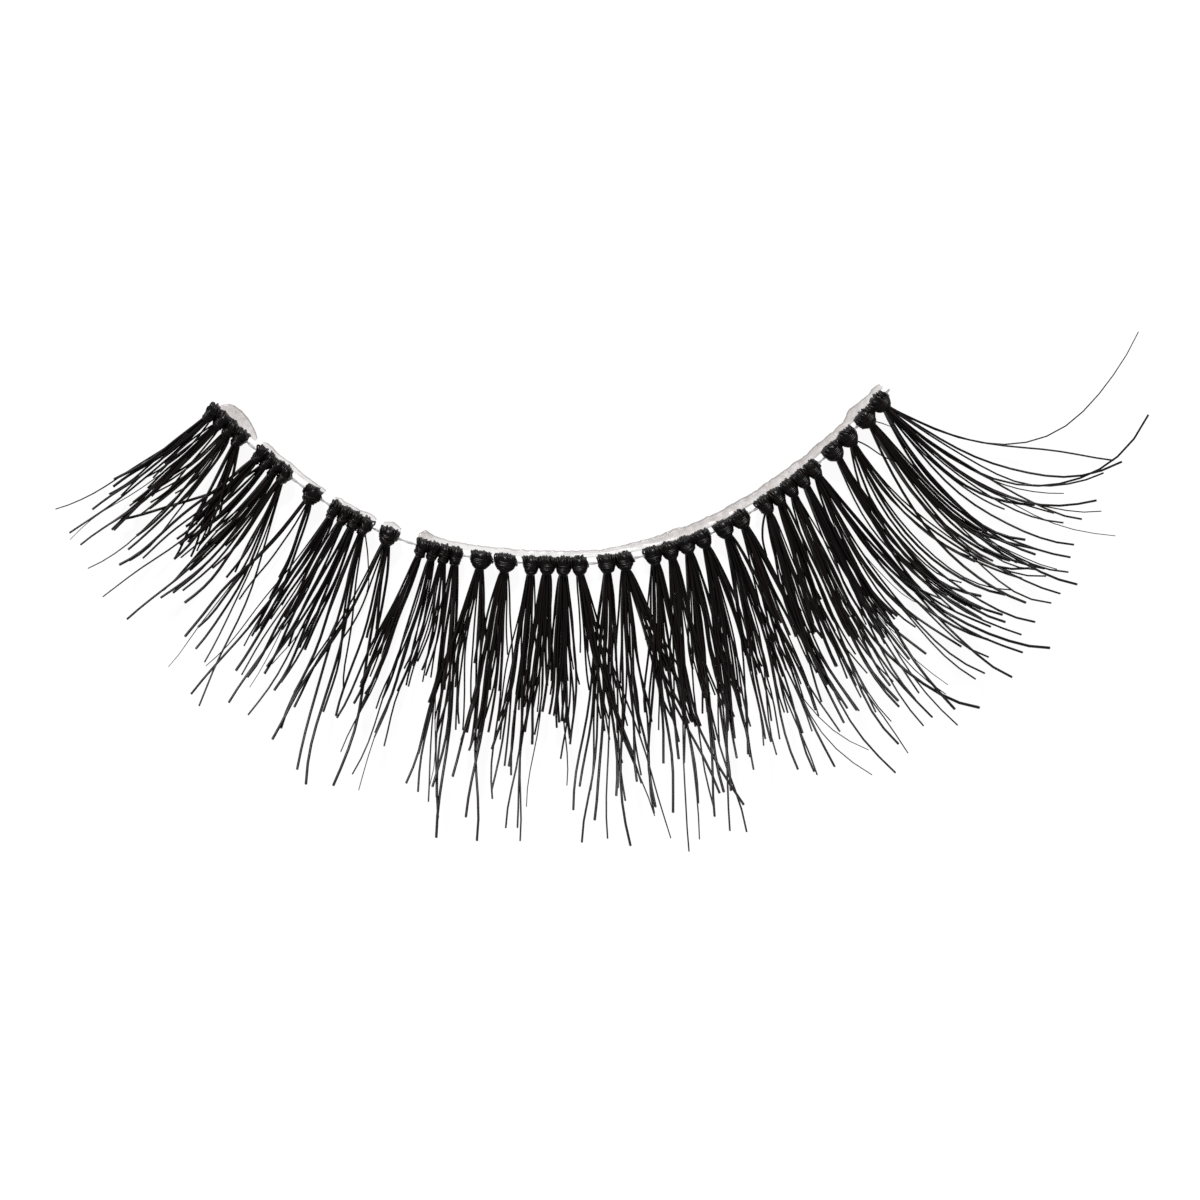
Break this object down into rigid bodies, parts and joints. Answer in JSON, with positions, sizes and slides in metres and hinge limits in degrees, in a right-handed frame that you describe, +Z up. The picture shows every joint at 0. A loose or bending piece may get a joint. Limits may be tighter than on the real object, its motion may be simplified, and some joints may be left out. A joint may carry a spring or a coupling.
{
  "type": "strip false eyelash",
  "caption": "Strip false eyelash: clusters of black curled hair knotted side by side on a clear thread bent to the lid's curve, with films of dried glue along the band.",
  "frame": {"origin": "middle of the footprint, on the surface that the strip lies on", "axes": "+X along the strip from the short-haired end to the long-haired end, -Y from the band towards the hair tips, +Z up from the surface"},
  "size_m": [0.0472, 0.022, 0.0043],
  "materials": {
    "lash_hair": "satin black synthetic hair",
    "clear_thread": "clear drawn nylon",
    "dried_glue": "translucent dried latex glue"
  },
  "bodies": {
    "root": {"band_thread": "clear_thread", "lash_01": "lash_hair", "lash_02": "lash_hair", "lash_03": "lash_hair", "lash_04": "lash_hair", "lash_05": "lash_hair", "lash_06": "lash_hair", "lash_07": "lash_hair", "lash_08": "lash_hair", "lash_09": "lash_hair", "lash_10": "lash_hair", "lash_11": "lash_hair", "lash_12": "lash_hair", "lash_13": "lash_hair", "lash_14": "lash_hair", "lash_15": "lash_hair", "lash_16": "lash_hair", "lash_17": "lash_hair", "lash_18": "lash_hair", "lash_19": "lash_hair", "lash_20": "lash_hair", "lash_21": "lash_hair", "lash_22": "lash_hair", "lash_23": "lash_hair", "lash_24": "lash_hair", "lash_25": "lash_hair", "lash_26": "lash_hair", "lash_27": "lash_hair", "lash_28": "lash_hair", "lash_29": "lash_hair", "lash_30": "lash_hair", "lash_31": "lash_hair", "lash_32": "lash_hair", "lash_33": "lash_hair", "lash_34": "lash_hair", "lash_35": "lash_hair", "lash_36": "lash_hair", "lash_37": "lash_hair", "lash_38": "lash_hair", "lash_39": "lash_hair", "lash_40": "lash_hair", "lash_41": "lash_hair", "glue_film_1": "dried_glue", "glue_film_2": "dried_glue", "glue_film_3": "dried_glue", "glue_film_4": "dried_glue", "glue_film_5": "dried_glue"}
  },
  "joints": []
}
